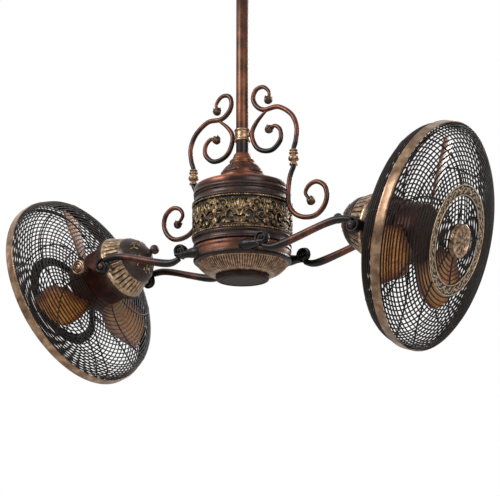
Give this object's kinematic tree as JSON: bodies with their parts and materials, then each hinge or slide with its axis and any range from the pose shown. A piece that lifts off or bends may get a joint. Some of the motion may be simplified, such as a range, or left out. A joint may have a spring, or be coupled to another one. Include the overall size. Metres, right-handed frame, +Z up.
{
  "type": "twin head ceiling fan",
  "caption": "Ceiling fan on a downrod with an ornamental housing, a turning ring with wrought arms and caged tilting fan heads.",
  "frame": {"origin": "middle of the mounting plate's top face, where it meets the ceiling", "axes": "+Z up into the ceiling, +X along the arms towards the right head, -Y towards the side that the picture shows first"},
  "size_m": [1.0272, 0.4352, 0.8869],
  "materials": {
    "copper_paint": "satin, rubbed copper brown",
    "dark_paint": "satin, near black bronze",
    "aged_bronze": "antique bronze with dark recesses",
    "bronze_casting": "antique bronze paint on a casting",
    "copper_casting": "copper brown paint on a casting",
    "dark_casting": "satin dark brown paint on a casting",
    "wire": "satin near black wire",
    "blade_wood": "varnished",
    "bare_steel": "plain",
    "motor_case": "plain casting"
  },
  "bodies": {
    "mount_stem": {"hanger_bracket": "bare_steel", "canopy": "copper_paint", "canopy_screw_right": "aged_bronze", "canopy_screw_left": "aged_bronze", "downrod": "copper_paint", "hanger_ball": "dark_casting", "bell_cap": "copper_paint", "rod_coupler": "bare_steel", "housing_lid": "copper_paint", "upper_moulding": "dark_casting", "housing_drum": "dark_paint", "filigree_band": "bronze_casting", "lower_moulding": "dark_casting", "drive_motor": "motor_case", "scroll_upper_right": "copper_paint", "scroll_finial_right": "aged_bronze", "scroll_lower_right": "copper_paint", "scroll_upper_left": "copper_paint", "scroll_finial_left": "aged_bronze", "scroll_lower_left": "copper_paint", "scroll_collar": "aged_bronze"},
    "carousel": {"arm_ring": "copper_casting", "ribbed_dish": "bronze_casting", "bottom_cap": "dark_casting", "carousel_hub": "motor_case", "arm_right_near": "copper_paint", "arm_right_far": "copper_paint", "arm_left_near": "copper_paint", "arm_left_far": "copper_paint"},
    "head_right": {"motor_cup_right": "bronze_casting", "rear_cap_right": "dark_casting", "pivot_shaft_right": "dark_paint", "slotted_collar_right": "dark_casting", "motor_body_right": "dark_casting", "cage_band_right": "aged_bronze", "rear_grille_right": "wire", "front_grille_right": "wire", "medallion_right": "aged_bronze", "badge_right": "bronze_casting"},
    "head_left": {"motor_cup_left": "bronze_casting", "rear_cap_left": "dark_casting", "pivot_shaft_left": "dark_paint", "slotted_collar_left": "dark_casting", "motor_body_left": "dark_casting", "cage_band_left": "aged_bronze", "rear_grille_left": "wire", "front_grille_left": "wire", "medallion_left": "aged_bronze", "badge_left": "bronze_casting"},
    "rotor_right": {"rotor_hub_right": "dark_casting", "blade_right_1": "blade_wood", "blade_right_2": "blade_wood", "blade_right_3": "blade_wood"},
    "rotor_left": {"rotor_hub_left": "dark_casting", "blade_left_1": "blade_wood", "blade_left_2": "blade_wood", "blade_left_3": "blade_wood"},
    "knob_right": {"lock_knob_right": "aged_bronze"},
    "knob_left": {"lock_knob_left": "aged_bronze"}
  },
  "joints": [
    {"name": "carousel_turn", "type": "hinge", "parent": "mount_stem", "child": "carousel", "pos_m": [0, 0, -0.64], "axis": [0, 0, 1], "continuous": true},
    {"name": "tilt_right", "type": "hinge", "parent": "carousel", "child": "head_right", "pos_m": [0.2994, 0, -0.6548], "axis": [0, 1, 0], "range_deg": [-48, 67]},
    {"name": "tilt_left", "type": "hinge", "parent": "carousel", "child": "head_left", "pos_m": [-0.2994, 0, -0.6548], "axis": [0, -1, 0], "range_deg": [-48, 67]},
    {"name": "spin_right", "type": "hinge", "parent": "head_right", "child": "rotor_right", "pos_m": [0.30543, 0, -0.63625], "axis": [0.9511, 0, -0.309], "continuous": true},
    {"name": "spin_left", "type": "hinge", "parent": "head_left", "child": "rotor_left", "pos_m": [-0.30543, 0, -0.63625], "axis": [-0.9511, 0, -0.309], "continuous": true},
    {"name": "lock_right", "type": "hinge", "parent": "head_right", "child": "knob_right", "pos_m": [0.35298, 0, -0.6517], "axis": [0, 1, 0], "range_deg": [-180, 180]},
    {"name": "lock_left", "type": "hinge", "parent": "head_left", "child": "knob_left", "pos_m": [-0.35298, 0, -0.6517], "axis": [0, -1, 0], "range_deg": [-180, 180]}
  ]
}
